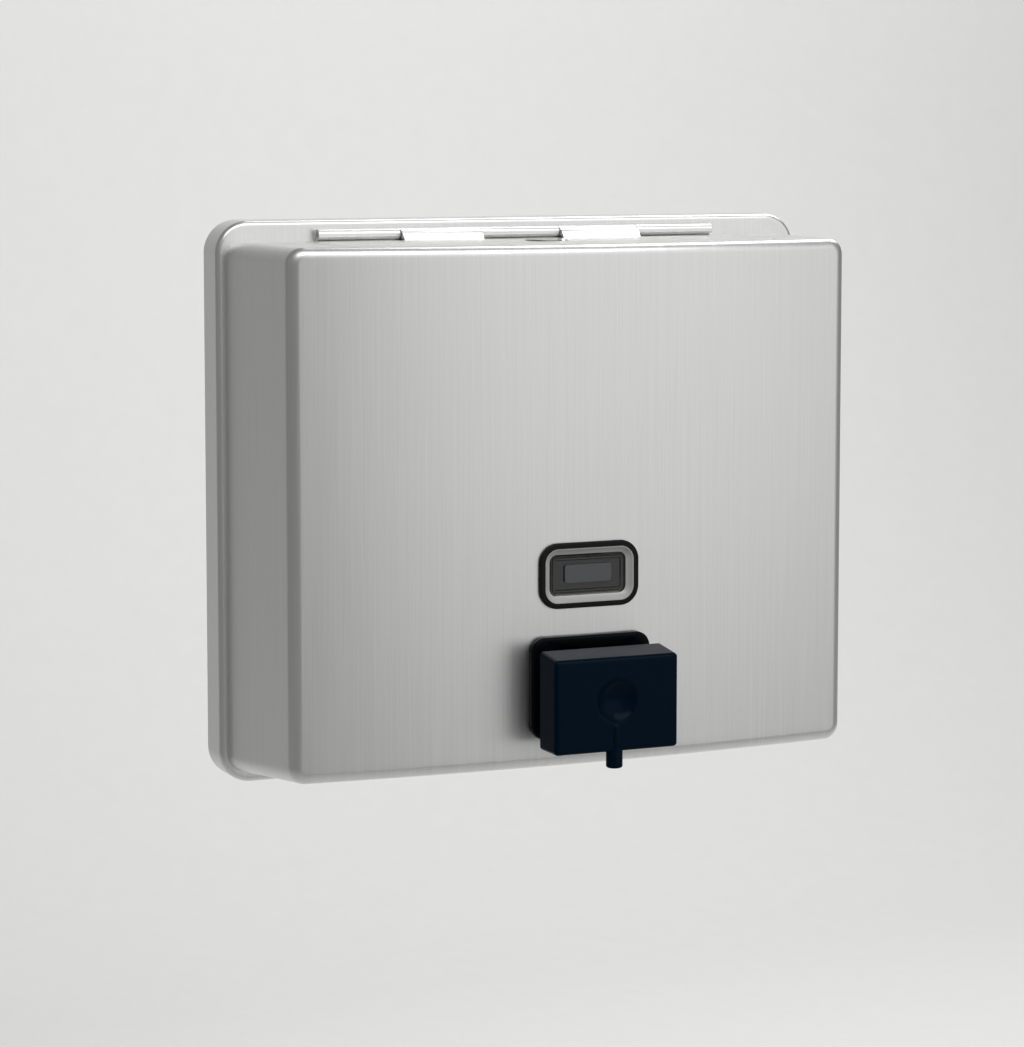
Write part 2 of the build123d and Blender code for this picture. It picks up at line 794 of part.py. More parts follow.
# Spring between the housing's inner wall and the back of the button.
spring_back = bore_floor_depth + spring_wire / 2 + spring_end_gap
spring_front = button_back_depth - spring_wire / 2 - spring_end_gap
spring_height = spring_front - spring_back
with BuildPart() as return_spring:
    with BuildLine() as coil:
        Helix(
            pitch=spring_height / spring_turns,
            height=spring_height,
            radius=spring_radius,
            center=(0, -spring_back, valve_z),
            direction=(0, -1, 0),
        )
    with BuildSketch(Plane(origin=coil.line @ 0, z_dir=coil.line % 0)):
        Circle(spring_wire / 2)
    sweep(is_frenet=True)
finish(return_spring.part, "return_spring")

# ---------------------------------------------------------------- push button
button_side = [
    (-button_back_depth, button_low),
    (-button_front_depth, button_low),
    (-button_front_depth, valve_z + button_top_front),
    (-button_back_depth, valve_z + button_top_back),
]
dish_sphere = (dish_radius**2 + dish_depth**2) / (2 * dish_depth)
dish_z = valve_z - dish_drop
with BuildPart() as push_button:
    with BuildSketch(Plane.YZ.offset(-button_width / 2)):
        with BuildLine():
            Polyline(*button_side, close=True)
        make_face()
    extrude(amount=button_width)
    front_edges = push_button.faces().sort_by(Axis.Y)[0].edges()
    depth_edges = push_button.edges().filter_by(lambda edge: abs(edge.tangent_at(0.5).Y) > 0.9)
    fillet(front_edges + depth_edges, button_edge)
    with BuildSketch(Plane.XY.offset(button_low)):
        with Locations((0, -nub_depth)):
            Circle(rib_radius)
    extrude(amount=dish_z - dish_radius + rib_lap - button_low)
    with Locations((0, -button_front_depth - dish_sphere + dish_depth, dish_z)):
        Sphere(dish_sphere, mode=Mode.SUBTRACT)
    with BuildSketch(at_depth(button_back_depth - neck_length)):
        with Locations(valve_place):
            Circle(neck_radius)
            Circle(neck_radius - neck_wall, mode=Mode.SUBTRACT)
    extrude(amount=neck_length)
    with BuildSketch(at_depth(button_back_depth - boss_length)):
        with Locations(valve_place):
            Circle(boss_radius)
    extrude(amount=boss_length)
    with BuildSketch(at_depth(button_back_depth - boss_length)):
        with Locations(valve_place):
            Circle(rod_radius)
    extrude(amount=boss_length + rod_socket, mode=Mode.SUBTRACT)
    link_z = button_low + nub_shank_length
    with BuildSketch(Plane.XY.offset(link_z - channel_radius)):
        with Locations((0, -channel_depth)):
            Circle(channel_radius)
    extrude(amount=valve_z - link_z + 2 * channel_radius, mode=Mode.SUBTRACT)
    with BuildSketch(at_depth(channel_depth)):
        with Locations((0, link_z)):
            Circle(channel_radius)
    extrude(amount=nub_depth - channel_depth, mode=Mode.SUBTRACT)
    with BuildSketch(Plane.XY.offset(button_low)):
        with Locations((0, -nub_depth)):
            Circle(nub_shank_radius)
    extrude(amount=nub_shank_length, mode=Mode.SUBTRACT)
finish(push_button.part, "push_button")

with BuildPart() as spout_tip:
    with BuildSketch(Plane.XY.offset(button_low - nub_drop)):
        with Locations((0, -nub_depth)):
            Circle(nub_radius)
    extrude(amount=nub_drop)
    fillet(spout_tip.faces().sort_by(Axis.Z)[0].edges(), 0.6)
    with BuildSketch(Plane.XY.offset(button_low)):
        with Locations((0, -nub_depth)):
            Circle(nub_shank_radius)
    extrude(amount=nub_shank_length - channel_radius)
    with BuildSketch(Plane.XY.offset(button_low - nub_drop)):
        with Locations((0, -nub_depth)):
            Circle(duckbill_radius + running_gap)
    extrude(amount=nub_drop + nub_shank_length, mode=Mode.SUBTRACT)
finish(spout_tip.part, "spout_tip")

# Rubber drip stop: a short tube whose lower end closes to a flat bill.
with BuildPart() as duckbill_valve:
    bill_low = button_low - nub_drop + 0.6
    with BuildSketch(Plane.XY.offset(bill_low + duckbill_length / 2)):
        with Locations((0, -nub_depth)):
            Circle(duckbill_radius)
    extrude(amount=duckbill_length / 2)
    with BuildSketch(Plane.XY.offset(bill_low + duckbill_length / 2)):
        with Locations((0, -nub_depth)):
            Rectangle(1.5, 1.5)
    with BuildSketch(Plane.XY.offset(bill_low)):
        with Locations((0, -nub_depth)):
            Rectangle(1.9, 0.4)
    loft()
    with BuildSketch(Plane.XY.offset(bill_low + duckbill_length / 2)):
        with Locations((0, -nub_depth)):
            Circle(duckbill_radius * 0.6)
    extrude(amount=duckbill_length / 2, mode=Mode.SUBTRACT)
finish(duckbill_valve.part, "duckbill_valve")
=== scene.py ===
# %% [markdown]
# # A wall mounted soap dispenser, in cells
# The dispenser is a satin steel tank with a black push button. Each cell below makes one
# piece or one finish, and prints what it made.

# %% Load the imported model
import json
import math

import bmesh
import bpy
from mathutils import Matrix, Vector

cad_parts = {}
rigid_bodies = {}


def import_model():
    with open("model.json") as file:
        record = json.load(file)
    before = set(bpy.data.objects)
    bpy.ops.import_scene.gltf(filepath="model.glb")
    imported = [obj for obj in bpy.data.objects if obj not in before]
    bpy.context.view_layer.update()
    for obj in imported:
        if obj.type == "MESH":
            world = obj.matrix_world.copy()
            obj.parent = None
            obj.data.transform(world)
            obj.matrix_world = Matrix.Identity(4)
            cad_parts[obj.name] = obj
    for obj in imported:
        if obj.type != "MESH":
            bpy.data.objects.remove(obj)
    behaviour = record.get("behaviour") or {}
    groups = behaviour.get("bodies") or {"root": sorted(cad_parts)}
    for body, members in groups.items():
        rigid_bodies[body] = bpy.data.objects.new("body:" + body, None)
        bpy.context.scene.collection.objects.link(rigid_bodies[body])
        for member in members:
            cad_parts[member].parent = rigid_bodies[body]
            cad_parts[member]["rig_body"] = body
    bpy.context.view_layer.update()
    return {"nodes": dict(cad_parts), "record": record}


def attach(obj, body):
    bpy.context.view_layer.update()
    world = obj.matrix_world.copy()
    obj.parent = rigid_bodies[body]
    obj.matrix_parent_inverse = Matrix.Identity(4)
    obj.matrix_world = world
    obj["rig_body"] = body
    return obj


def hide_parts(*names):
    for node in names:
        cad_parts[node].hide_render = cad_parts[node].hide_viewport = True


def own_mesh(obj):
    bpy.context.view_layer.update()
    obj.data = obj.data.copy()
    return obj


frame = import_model()
nodes = frame["nodes"]
print("parts:", len(nodes))

# %% [markdown]
# ## Camera
# A long lens from about a metre keeps the sides of a small box nearly parallel. The
# camera stands to the left and a little above, so the left side and the top both show,
# and it is turned down by a few degrees towards the middle. A small shift of the frame
# sets the dispenser's height in the picture without tilting its upright edges.

# %% Camera
turn = math.radians(23.36)
tilt = math.radians(5.41)
camera_data = bpy.data.cameras.new("camera")
camera = bpy.data.objects.new("camera", camera_data)
bpy.context.scene.collection.objects.link(camera)
camera.location = (-0.3603, -0.8427, 0.1063)
camera.rotation_euler = (math.pi / 2 - tilt, 0, -turn)
camera_data.lens = 109.9
camera_data.sensor_width = 36
camera_data.shift_y = -0.1
bpy.context.scene.camera = camera
print("camera", [round(v, 3) for v in camera.location], "lens", camera_data.lens)

# %% [markdown]
# ## Shader helper
# Node trees are easier to read as sums. This small class wraps one output socket and
# turns `+`, `-` and `*` into Math nodes, so a pattern is written as an expression. One
# method, `node`, makes any other node from its type, its settings and its inputs.


# %% Shader helper
class Signal:
    """One output socket of a node tree, with arithmetic."""

    def __init__(self, tree, socket):
        self.tree = tree
        self.socket = socket

    def math(self, operation, first, second):
        step = node(self.tree, "ShaderNodeMath", {"operation": operation}, {0: first, 1: second})
        return Signal(self.tree, step.outputs[0])

    def __add__(self, other):
        return self.math("ADD", self, other)

    __radd__ = __add__

    def __sub__(self, other):
        return self.math("SUBTRACT", self, other)

    def __rsub__(self, other):
        return self.math("SUBTRACT", other, self)

    def __mul__(self, other):
        return self.math("MULTIPLY", self, other)

    __rmul__ = __mul__


def node(tree, kind, settings=None, inputs=None):
    """Make a node: settings first, then each input's value or link."""
    made = tree.nodes.new(kind)
    for name, value in (settings or {}).items():
        setattr(made, name, value)
    for name, value in (inputs or {}).items():
        if isinstance(value, Signal):
            tree.links.new(value.socket, made.inputs[name])
        else:
            made.inputs[name].default_value = value
    return made


def noise(tree, place, stretch, detail=3.0, roughness=0.5, scale=1.0):
    """Noise on the piece's own coordinates, stretched by a Mapping node's scale."""
    mapped = node(tree, "ShaderNodeMapping", {}, {"Vector": place, "Scale": stretch})
    inputs = {
        "Vector": Signal(tree, mapped.outputs[0]),
        "Scale": scale,
        "Detail": detail,
        "Roughness": roughness,
    }
    grain = node(tree, "ShaderNodeTexNoise", {}, inputs)
    return Signal(tree, grain.outputs["Fac"])


def blend_colour(tree, factor, dark, light):
    """A colour between two others."""
    mixed = node(
        tree, "ShaderNodeMix", {"data_type": "RGBA"}, {0: factor, 6: (*dark, 1), 7: (*light, 1)}
    )
    return Signal(tree, mixed.outputs[2])


def blank_material(name):
    """A material with only its Principled shader: the tree, the shader and the place."""
    made = bpy.data.materials.new(name)
    made.use_nodes = True
    tree = made.node_tree
    shader = tree.nodes["Principled BSDF"]
    place = Signal(tree, node(tree, "ShaderNodeTexCoord").outputs["Object"])
    return made, tree, shader, place


print("shader helper ready")

# %% [markdown]
# ## Satin steel
# The tank is brushed with a belt, straight up and down. The belt leaves thousands of
# fine scratches a few centimetres long: seen from a step away they are a soft vertical
# grain, and they smear every reflection. Two noises stretched along Z make the grain, one
# that varies across X for the front and top and one that varies across Y for the sides.


# %% Satin steel
def brushed(name, colour, roughness, strength, fine=2600.0, along=22.0, bump=0.02):
    """Metal with a straight brushed grain along Z, on the front and on the sides."""
    made, tree, shader, place = blank_material(name)
    facing = node(tree, "ShaderNodeNewGeometry")
    split = node(tree, "ShaderNodeSeparateXYZ", {}, {0: Signal(tree, facing.outputs["Normal"])})
    sideways = Signal(tree, split.outputs["X"])
    on_side = sideways * sideways
    front_grain = noise(tree, place, (fine, along, along), detail=2.5, roughness=0.6)
    side_grain = noise(tree, place, (along, fine, along), detail=2.5, roughness=0.6)
    grain = front_grain * (1 - on_side) + side_grain * on_side
    front_band = noise(tree, place, (fine / 9, along / 3, along / 3), detail=2.0)
    side_band = noise(tree, place, (along / 3, fine / 9, along / 3), detail=2.0)
    band = front_band * (1 - on_side) + side_band * on_side
    handled = noise(tree, place, (28, 28, 28), detail=4.0)
    tone = grain * 0.85 + band * 0.15
    dark = [c * (1 - strength) for c in colour]
    light = [min(1, c * (1 + strength)) for c in colour]
    rough = roughness + (grain - 0.5) * 0.14 + (band - 0.5) * 0.03 + (handled - 0.5) * 0.04
    height = node(
        tree,
        "ShaderNodeBump",
        {},
        {"Strength": bump, "Distance": 0.0002, "Height": grain + band * 0.3},
    )
    tree.links.new(blend_colour(tree, tone, dark, light).socket, shader.inputs["Base Color"])
    tree.links.new(rough.socket, shader.inputs["Roughness"])
    tree.links.new(height.outputs[0], shader.inputs["Normal"])
    shader.inputs["Metallic"].default_value = 1.0
    return made


satin_steel = brushed("satin_steel", (0.76, 0.76, 0.755), 0.36, 0.12)
plate_steel = brushed("plate_steel", (0.5, 0.5, 0.5), 0.42, 0.14, fine=1500.0, along=60.0)
print("steels:", satin_steel.name, plate_steel.name)

# %% [markdown]
# ## Polished and plastic finishes
# The lock is plated and polished, so it is smooth with only faint wipe marks. The button
# and its flange are moulded in a glossy black plastic: the colour is nearly black with a
# little blue, and a faint orange-peel ripple from the mould keeps its reflections alive.
# Rubber is dull and slightly dusty, and nylon is pale and waxy.


# %% Plastics, rubber and polished metal
def moulded(name, colour, roughness, ripple, ripple_size, spread=0.04, speckle=0.1):
    """Plastic or rubber: a soft ripple in the surface and a small change of gloss."""
    made, tree, shader, place = blank_material(name)
    wave = noise(tree, place, (ripple_size, ripple_size, ripple_size), detail=2.0)
    wiped = noise(tree, place, (160, 160, 40), detail=5.0, roughness=0.6)
    dark = [c * (1 - speckle) for c in colour]
    light = [c * (1 + speckle) for c in colour]
    rough = roughness + (wiped - 0.5) * spread
    bump = {"Strength": ripple, "Distance": 0.0003, "Height": wave}
    height = node(tree, "ShaderNodeBump", {}, bump)
    tree.links.new(blend_colour(tree, wiped, dark, light).socket, shader.inputs["Base Color"])
    tree.links.new(rough.socket, shader.inputs["Roughness"])
    tree.links.new(height.outputs[0], shader.inputs["Normal"])
    return made, shader


gloss_black, gloss_shader = moulded("gloss_black", (0.0003, 0.006, 0.0145), 0.24, 0.02, 900)
gloss_shader.inputs["Specular IOR Level"].default_value = 0.04
black_plastic, housing_shader = moulded("black_plastic", (0.002, 0.0025, 0.004), 0.3, 0.03, 1200)
housing_shader.inputs["Specular IOR Level"].default_value = 0.05
rubber_black = (0.006, 0.006, 0.0055)
black_rubber, rubber_shader = moulded("black_rubber", rubber_black, 0.55, 0.08, 2500, spread=0.15)
rubber_shader.inputs["Specular IOR Level"].default_value = 0.15
white_nylon, _ = moulded("white_nylon", (0.72, 0.72, 0.68), 0.42, 0.05, 1400, speckle=0.03)
lock_chrome, chrome_shader = moulded("lock_chrome", (0.62, 0.62, 0.62), 0.12, 0.01, 700, spread=0.06)
chrome_shader.inputs["Metallic"].default_value = 1.0
spring_steel, spring_shader = moulded("spring_steel", (0.42, 0.42, 0.43), 0.28, 0.03, 2200, spread=0.08)
spring_shader.inputs["Metallic"].default_value = 1.0
smoke = (0.075, 0.07, 0.066)
clear_window, window_shader = moulded("clear_window", smoke, 0.10, 0.015, 600, speckle=0.02)
# Pale grey painted on the clear sloping border of the window: a painted highlight, not a colour of its
# own.
painted_highlight_grey = (0.52, 0.52, 0.5)
window_border_painted_highlight, _ = moulded("window_border_painted_highlight", painted_highlight_grey, 0.2, 0.01, 600, speckle=0.02)
# Opaque grey painted on the clear pad in the window: painted light for the lighter patch it shows.
painted_light_pad_grey = (0.06, 0.068, 0.07)
window_pad_painted_light, _ = moulded("window_pad_painted_light", painted_light_pad_grey, 0.16, 0.01, 600, speckle=0.02)
window_shader.inputs["Transmission Weight"].default_value = 0.75
window_shader.inputs["IOR"].default_value = 1.49
finishes = {
    "satin_steel": satin_steel,
    "plate_steel": plate_steel,
    "lock_chrome": lock_chrome,
    "spring_steel": spring_steel,
    "black_rubber": black_rubber,
    "clear_window": clear_window,
    "black_plastic": black_plastic,
    "gloss_black": gloss_black,
    "white_nylon": white_nylon,
}
print("finishes:", sorted(finishes))

# %% [markdown]
# Every part that came in takes the finish that its record names. A part that is replaced
# below is hidden, so its finish doesn't matter.

# %% Finish each part that came in
slot_of = {part["node"]: part["material_slot"] for part in frame["record"]["subparts"]}
for name, part in nodes.items():
    part.data.materials.clear()
    part.data.materials.append(finishes[slot_of[name]])
print("finished", len(nodes), "parts")

# %% [markdown]
# ## Making pieces
# Sheet steel parts look right only if light runs smoothly over their bends, so the
# visible ones are made again as clean meshes. The work is done in millimetres with Y
# pointing into the wall, and `finished_piece` turns it into metres, names the part it
# stands for and gives it that part's body and finish.


# %% Helpers for making pieces
def block(shape, low, high):
    """Add a box between two corners, and return its vertices."""
    corners = bmesh.ops.create_cube(shape, size=1.0)["verts"]
    size = [b - a for a, b in zip(low, high)]
    middle = [(a + b) / 2 for a, b in zip(low, high)]
    bmesh.ops.scale(shape, vec=size, verts=corners)
    bmesh.ops.translate(shape, vec=middle, verts=corners)
    return corners


def edges_along(corners, axis):
    """The edges of these vertices that run along X (0), Y (1) or Z (2)."""
    found = []
    for vertex in corners:
        found += [edge for edge in vertex.link_edges if edge not in found]
    return [e for e in found if abs((e.verts[0].co - e.verts[1].co).normalized()[axis]) > 0.99]


def round_over(shape, edges, radius, segments):
    """Round edges with an arc of a given radius."""
    return bmesh.ops.bevel(
        shape,
        geom=edges,
        offset=radius,
        offset_type="OFFSET",
        affect="EDGES",
        segments=segments,
        profile=0.5,
        material=-1,
    )


def flat_face(shape, axis, value):
    """The one face that lies across an axis at a given value."""
    return next(f for f in shape.faces if all(abs(v.co[axis] - value) < 1e-4 for v in f.verts))


def turned(shape, outline, middle, steps=64):
    """Turn a closed outline of (radius, y) points about an axis along Y, into a ring."""
    points = [shape.verts.new((middle[0] + r, y, middle[1])) for r, y in outline]
    loop = [shape.edges.new((a, b)) for a, b in zip(points, points[1:] + points[:1])]
    return bmesh.ops.spin(
        shape,
        geom=points + loop,
        cent=(middle[0], 0, middle[1]),
        axis=(0, 1, 0),
        angle=2 * math.pi,
        steps=steps,
        use_merge=True,
    )


def as_object(shape, name):
    """Turn a shape in millimetres into an object in metres."""
    bmesh.ops.scale(shape, vec=(0.001, 0.001, 0.001), verts=shape.verts)
    mesh = bpy.data.meshes.new(name)
    shape.to_mesh(mesh)
    shape.free()
    made = bpy.data.objects.new(name, mesh)
    bpy.context.scene.collection.objects.link(made)
    return made


def settle(made):
    """Apply an object's modifiers to its mesh."""
    graph = bpy.context.evaluated_depsgraph_get()
    mesh = bpy.data.meshes.new_from_object(made.evaluated_get(graph))
    made.modifiers.clear()
    made.data = mesh


def cut(made, cutter):
    """Take a cutter's solid out of an object."""
    change = made.modifiers.new("cut", "BOOLEAN")
    change.operation = "DIFFERENCE"
    change.solver = "EXACT"
    change.object = cutter
    settle(made)
    bpy.data.objects.remove(cutter)


def finished_piece(made, name, sharp_angle=32, extra=()):
    """Smooth an object's shading and let it stand for the part of that name."""
    made.name = name + "_piece"
    zones = [face.material_index for face in made.data.polygons]
    made.data.materials.clear()
    for finish in (finishes[slot_of[name]], *extra):
        made.data.materials.append(finish)
    for face, zone in zip(made.data.polygons, zones):
        face.material_index = min(zone, len(extra))
        face.use_smooth = True
    made.data.set_sharp_from_angle(angle=math.radians(sharp_angle))
    even = made.modifiers.new("even light", "WEIGHTED_NORMAL")
    even.keep_sharp = True
    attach(made, nodes[name]["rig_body"])
    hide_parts(name)
    triangles = sum(len(face.vertices) - 2 for face in made.data.polygons)
    print(made.name, "triangles:", triangles)


print("helpers ready")

# %% [markdown]
# ## The tank's shell
# The front is one drawn sheet: flat up and down, bowed outwards from side to side, with
# a small radius all round. A box is rounded first, along its four long edges and then
# round its front. Thin slices across X give the bow enough points, and then every vertex
# is moved: forward or back for the bow, and inwards for the sides' slight taper.

# %% Shell sizes
half_width = 86.7
shell_bottom = -74.5
shell_top = 72.0
back_depth = 11.3
face_depth = 61.0
bow = 7.2
taper = math.tan(math.radians(5.3))
corner = 4.5
face_round = 2.9
sheet = 1.2
face_half = half_width - taper * (face_depth - bow - back_depth)
bow_radius = (face_half**2 + bow**2) / (2 * bow)
print("bow radius", round(bow_radius, 1), "mm")


# %% Shell shape
def slice_across(shape, axis, places):
    """Add edges where planes across an axis pass through a shape."""
    direction = [float(i == axis) for i in range(3)]
    for place in places:
        bmesh.ops.bisect_plane(
            shape,
            geom=shape.verts[:] + shape.edges[:] + shape.faces[:],
            plane_co=[place * part for part in direction],
            plane_no=direction,
        )


shell = bmesh.new()
shell_low = (-half_width, -face_depth, shell_bottom)
shell_high = (half_width, -back_depth, shell_top)
round_over(shell, edges_along(block(shell, shell_low, shell_high), 1), corner, 12)
round_over(shell, list(flat_face(shell, 1, -face_depth).edges), face_round, 10)
slice_across(shell, 0, [-82.0, -80.0] + [3.0 * i for i in range(-26, 27)] + [80.0, 82.0])
slice_across(shell, 2, (-69.5, -60.0, 60.0, 67.0))
slice_across(shell, 1, (-56.0, -12.5))
back = [f for f in shell.faces if all(abs(v.co.y + back_depth) < 1e-4 for v in f.verts)]
bmesh.ops.delete(shell, geom=back, context="FACES_ONLY")
print("shell faces", len(shell.faces))

# %% Shell bow and taper
for vertex in shell.verts:
    forward = (-vertex.co.y - back_depth) / (face_depth - back_depth)
    sag = bow_radius - math.sqrt(bow_radius**2 - vertex.co.x**2)
    vertex.co.y += forward * sag
    shrink = taper * (-vertex.co.y - back_depth)
    across = max(-1.0, min(1.0, vertex.co.x / (half_width - corner)))
    below = max(0.0, min(1.0, vertex.co.z / (shell_bottom + corner)))
    vertex.co.x -= shrink * across
    vertex.co.z += shrink * below
bmesh.ops.recalc_face_normals(shell, faces=shell.faces)
print("shell bowed by", bow, "mm")

# %% [markdown]
# The sheet gets its thickness from a Solidify modifier. Its three openings are cut by
# solids: a rounded box for the lid, one for the window and a disc for the pump.


# %% Sheet thickness and cutters
def thicken(made):
    """Give a surface the sheet's thickness, on its inner side."""
    wall = made.modifiers.new("wall", "SOLIDIFY")
    wall.thickness = sheet * 0.001
    wall.offset = -1
    wall.use_even_offset = True
    settle(made)


def rounded_cutter(name, low, high, axis, radius):
    """A box that is rounded along one axis, as a cutter."""
    opening = bmesh.new()
    round_over(opening, edges_along(block(opening, low, high), axis), radius, 8)
    return as_object(opening, name)


# %% Shell thickness and openings
window_z = -17.6
valve_z = -47.9
pump_hole = 13.2
tank = as_object(shell, "tank")
thicken(tank)
lid_low = (-66.0, -46.2, shell_top - 2.5)
lid_high = (66.0, -15.2, shell_top + 1.5)
cut(tank, rounded_cutter("lid_opening", lid_low, lid_high, 2, 4.0))
window_low = (-13.95, -70, window_z - 8.2)
window_high = (13.95, -50, window_z + 8.2)
cut(tank, rounded_cutter("window_opening", window_low, window_high, 1, 4.65))
opening = bmesh.new()
bmesh.ops.create_cone(
    opening, cap_ends=True, segments=64, radius1=pump_hole, radius2=pump_hole, depth=20
)
bmesh.ops.rotate(opening, matrix=Matrix.Rotation(math.pi / 2, 3, "X"), verts=opening.verts)
bmesh.ops.translate(opening, vec=(0, -60, valve_z), verts=opening.verts)
cut(tank, as_object(opening, "pump_opening"))
finished_piece(tank, "tank_shell")

# %% [markdown]
# ## The tray against the wall
# The back is a shallow tray whose rounded rim stands proud of the shell, like a picture
# frame. A box is rounded along its short edges, then round its front, loses its back face
# and gets the sheet's thickness. A small hole under it lets the locking screw through.

# %% Tray
tray_half_width = 88.9
tray_half_height = 77.8
rim_corner = 9.0
rim_round = 1.5
screw_depth = 5.2
screw_hole = 2.3
tray = bmesh.new()
tray_low = (-tray_half_width, -back_depth, -tray_half_height)
tray_high = (tray_half_width, 0, tray_half_height)
round_over(tray, edges_along(block(tray, tray_low, tray_high), 1), rim_corner, 14)
front = flat_face(tray, 1, -back_depth)
round_over(tray, list(front.edges), rim_round, 8)
front = flat_face(tray, 1, -back_depth)
bmesh.ops.inset_region(tray, faces=[front], thickness=0.4, use_even_offset=True)
bmesh.ops.delete(tray, geom=[flat_face(tray, 1, 0.0)], context="FACES_ONLY")
bmesh.ops.recalc_face_normals(tray, faces=tray.faces)
pan = as_object(tray, "pan")
thicken(pan)
opening = bmesh.new()
bmesh.ops.create_cone(
    opening, cap_ends=True, segments=32, radius1=screw_hole, radius2=screw_hole, depth=6
)
bmesh.ops.translate(opening, vec=(0, -screw_depth, -tray_half_height), verts=opening.verts)
cut(pan, as_object(opening, "screw_opening"))
finished_piece(pan, "back_pan")

# %% [markdown]
# ## Parts with the right shape already
# The lid, its hinge, the lock, the gaskets and the pump keep their own shapes. Their
# meshes are loose triangles, so each gets a copy whose corners are joined, which lets
# light run over its round faces and keeps its edges crisp.


# %% Joined copies
def joined_copy(name, sharp_angle=28):
    """Stand in for a part with a copy of itself whose triangles share corners."""
    copy = bmesh.new()
    copy.from_mesh(nodes[name].data)
    bmesh.ops.remove_doubles(copy, verts=copy.verts, dist=1e-6)
    bmesh.ops.dissolve_degenerate(copy, edges=copy.edges, dist=1e-7)
    bmesh.ops.scale(copy, vec=(1000, 1000, 1000), verts=copy.verts)
    finished_piece(as_object(copy, name + "_copy"), name, sharp_angle)


for name in (
    "filler_lid",
    "hinge_knuckles",
    "hinge_pin",
    "lock_body",
    "lock_plug",
    "lock_cam",
    "cam_screw",
    "lock_nut",
    "filler_frame",
    "lid_gasket",
    "window_gasket",
    "window_retainer",
    "valve_housing",
    "housing_gasket",
    "housing_nut",
    "pump_cylinder",
    "rod_seal",
    "inlet_valve",
    "piston",
    "piston_seal",
    "plunger_rod",
    "return_spring",
    "spout_tip",
    "duckbill_valve",
    "wall_plate",
    "hanger_brackets",
    "locking_screw",
    "screw_nut",
):
    joined_copy(name)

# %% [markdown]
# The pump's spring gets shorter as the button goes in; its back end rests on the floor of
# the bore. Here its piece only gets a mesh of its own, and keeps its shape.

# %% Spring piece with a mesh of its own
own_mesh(bpy.data.objects["return_spring_piece"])

# %% [markdown]
# ## Push button
# The button is a block of black plastic with softly rounded edges and a top that slopes
# down to the front. A finger dish is cut into it with a ball, and a small rib runs from
# the dish down to the spout. Its neck slides in the flange behind it.

# %% Push button block and finger dish
button_back = 69.4
button_front = 79.6
button_round = 1.1
dish_sink = 2.3
dish_half = 5.8
dish_z = -49.3
button_half_width = 18.1
button_foot = -63.1
button_head = -36.4
head_at_front = -37.6
button = bmesh.new()
button_low = (-button_half_width, -button_front, button_foot)
button_high = (button_half_width, -button_back, button_head)
for vertex in block(button, button_low, button_high):
    at_front = vertex.co.y < -(button_back + button_front) / 2
    if at_front and vertex.co.z > dish_z:
        vertex.co.z = head_at_front
front = flat_face(button, 1, -button_front)
depth_edges = [e for v in front.verts for e in v.link_edges if e not in front.edges[:]]
round_over(button, list(front.edges) + depth_edges, button_round, 7)
front = flat_face(button, 1, -button_front)
bmesh.ops.inset_region(button, faces=[front], thickness=0.35, use_even_offset=True)
knob = as_object(button, "knob")
dish_radius = (dish_half**2 + dish_sink**2) / (2 * dish_sink)
dish_centre = Vector((0, -button_front - dish_radius + dish_sink, dish_z))
ball = bmesh.new()
bmesh.ops.create_uvsphere(ball, u_segments=96, v_segments=64, radius=dish_radius)
bmesh.ops.translate(ball, vec=dish_centre, verts=ball.verts)
cut(knob, as_object(ball, "finger"))
print("dish radius", round(dish_radius, 1), "mm")


# %% Push button rim, rib and neck
def on_dish_rim(vertex):
    """Whether a point lies on the front face and on the ball that cut the dish."""
    from_centre = (vertex.co - dish_centre).length - dish_radius
    return abs(vertex.co.y + button_front) < 1e-3 and abs(from_centre) < 0.02


rest = bmesh.new()
rest.from_mesh(knob.data)
bmesh.ops.scale(rest, vec=(1000, 1000, 1000), verts=rest.verts)
rim = [e for e in rest.edges if all(on_dish_rim(v) for v in e.verts)]
round_over(rest, rim, 0.7, 6)
rib_radius = 2.3
rib = bmesh.ops.create_cone(
    rest, cap_ends=True, segments=40, radius1=rib_radius, radius2=rib_radius, depth=8.0
)["verts"]
bmesh.ops.translate(rest, vec=(0, -77.7, -59.1), verts=rib)
rib_top = [f for f in {f for v in rib for f in v.link_faces} if f.normal.z > 0.9]
round_over(rest, list(rib_top[0].edges), 1.6, 6)
inside = -button_back - 0.5
neck = [(7.6, -58.4), (10.0, -58.4), (10.0, inside), (7.6, inside)]
boss = [(2.5, -64.1), (4.0, -64.1), (4.0, inside), (2.5, inside)]
turned(rest, neck, (0, valve_z))
turned(rest, boss, (0, valve_z), 40)
bmesh.ops.recalc_face_normals(rest, faces=rest.faces)
bpy.data.objects.remove(knob)
finished_piece(as_object(rest, "knob"), "push_button")

# %% [markdown]
# ## Level window
# The window is a clear block set in a rubber ring. A hollow sloping border runs round a
# sunk pane, and a low pad stands in the pane's middle. Each step is an inset of the front
# face: the first four make the border's curve, and five more make the fine dark
# lines round the pad. The clear border is painted a pale grey, a painted highlight for the
# light on its slope, and the pad an opaque grey, painted light for the lighter patch in
# the block; both are set by face.

# %% Level window
pane = bmesh.new()
front_depth = 61.8
pane_low = (-13.2, -front_depth, window_z - 7.45)
pane_high = (13.2, -57.6, window_z + 7.45)
round_over(pane, edges_along(block(pane, pane_low, pane_high), 1), 3.9, 10)
face = flat_face(pane, 1, -front_depth)


def step_in(width, sink):
    """Inset the window's front face by a width, and sink it; returns the new strip."""
    return bmesh.ops.inset_region(
        pane, faces=[face], thickness=width, depth=sink, use_even_offset=True
    )["faces"]
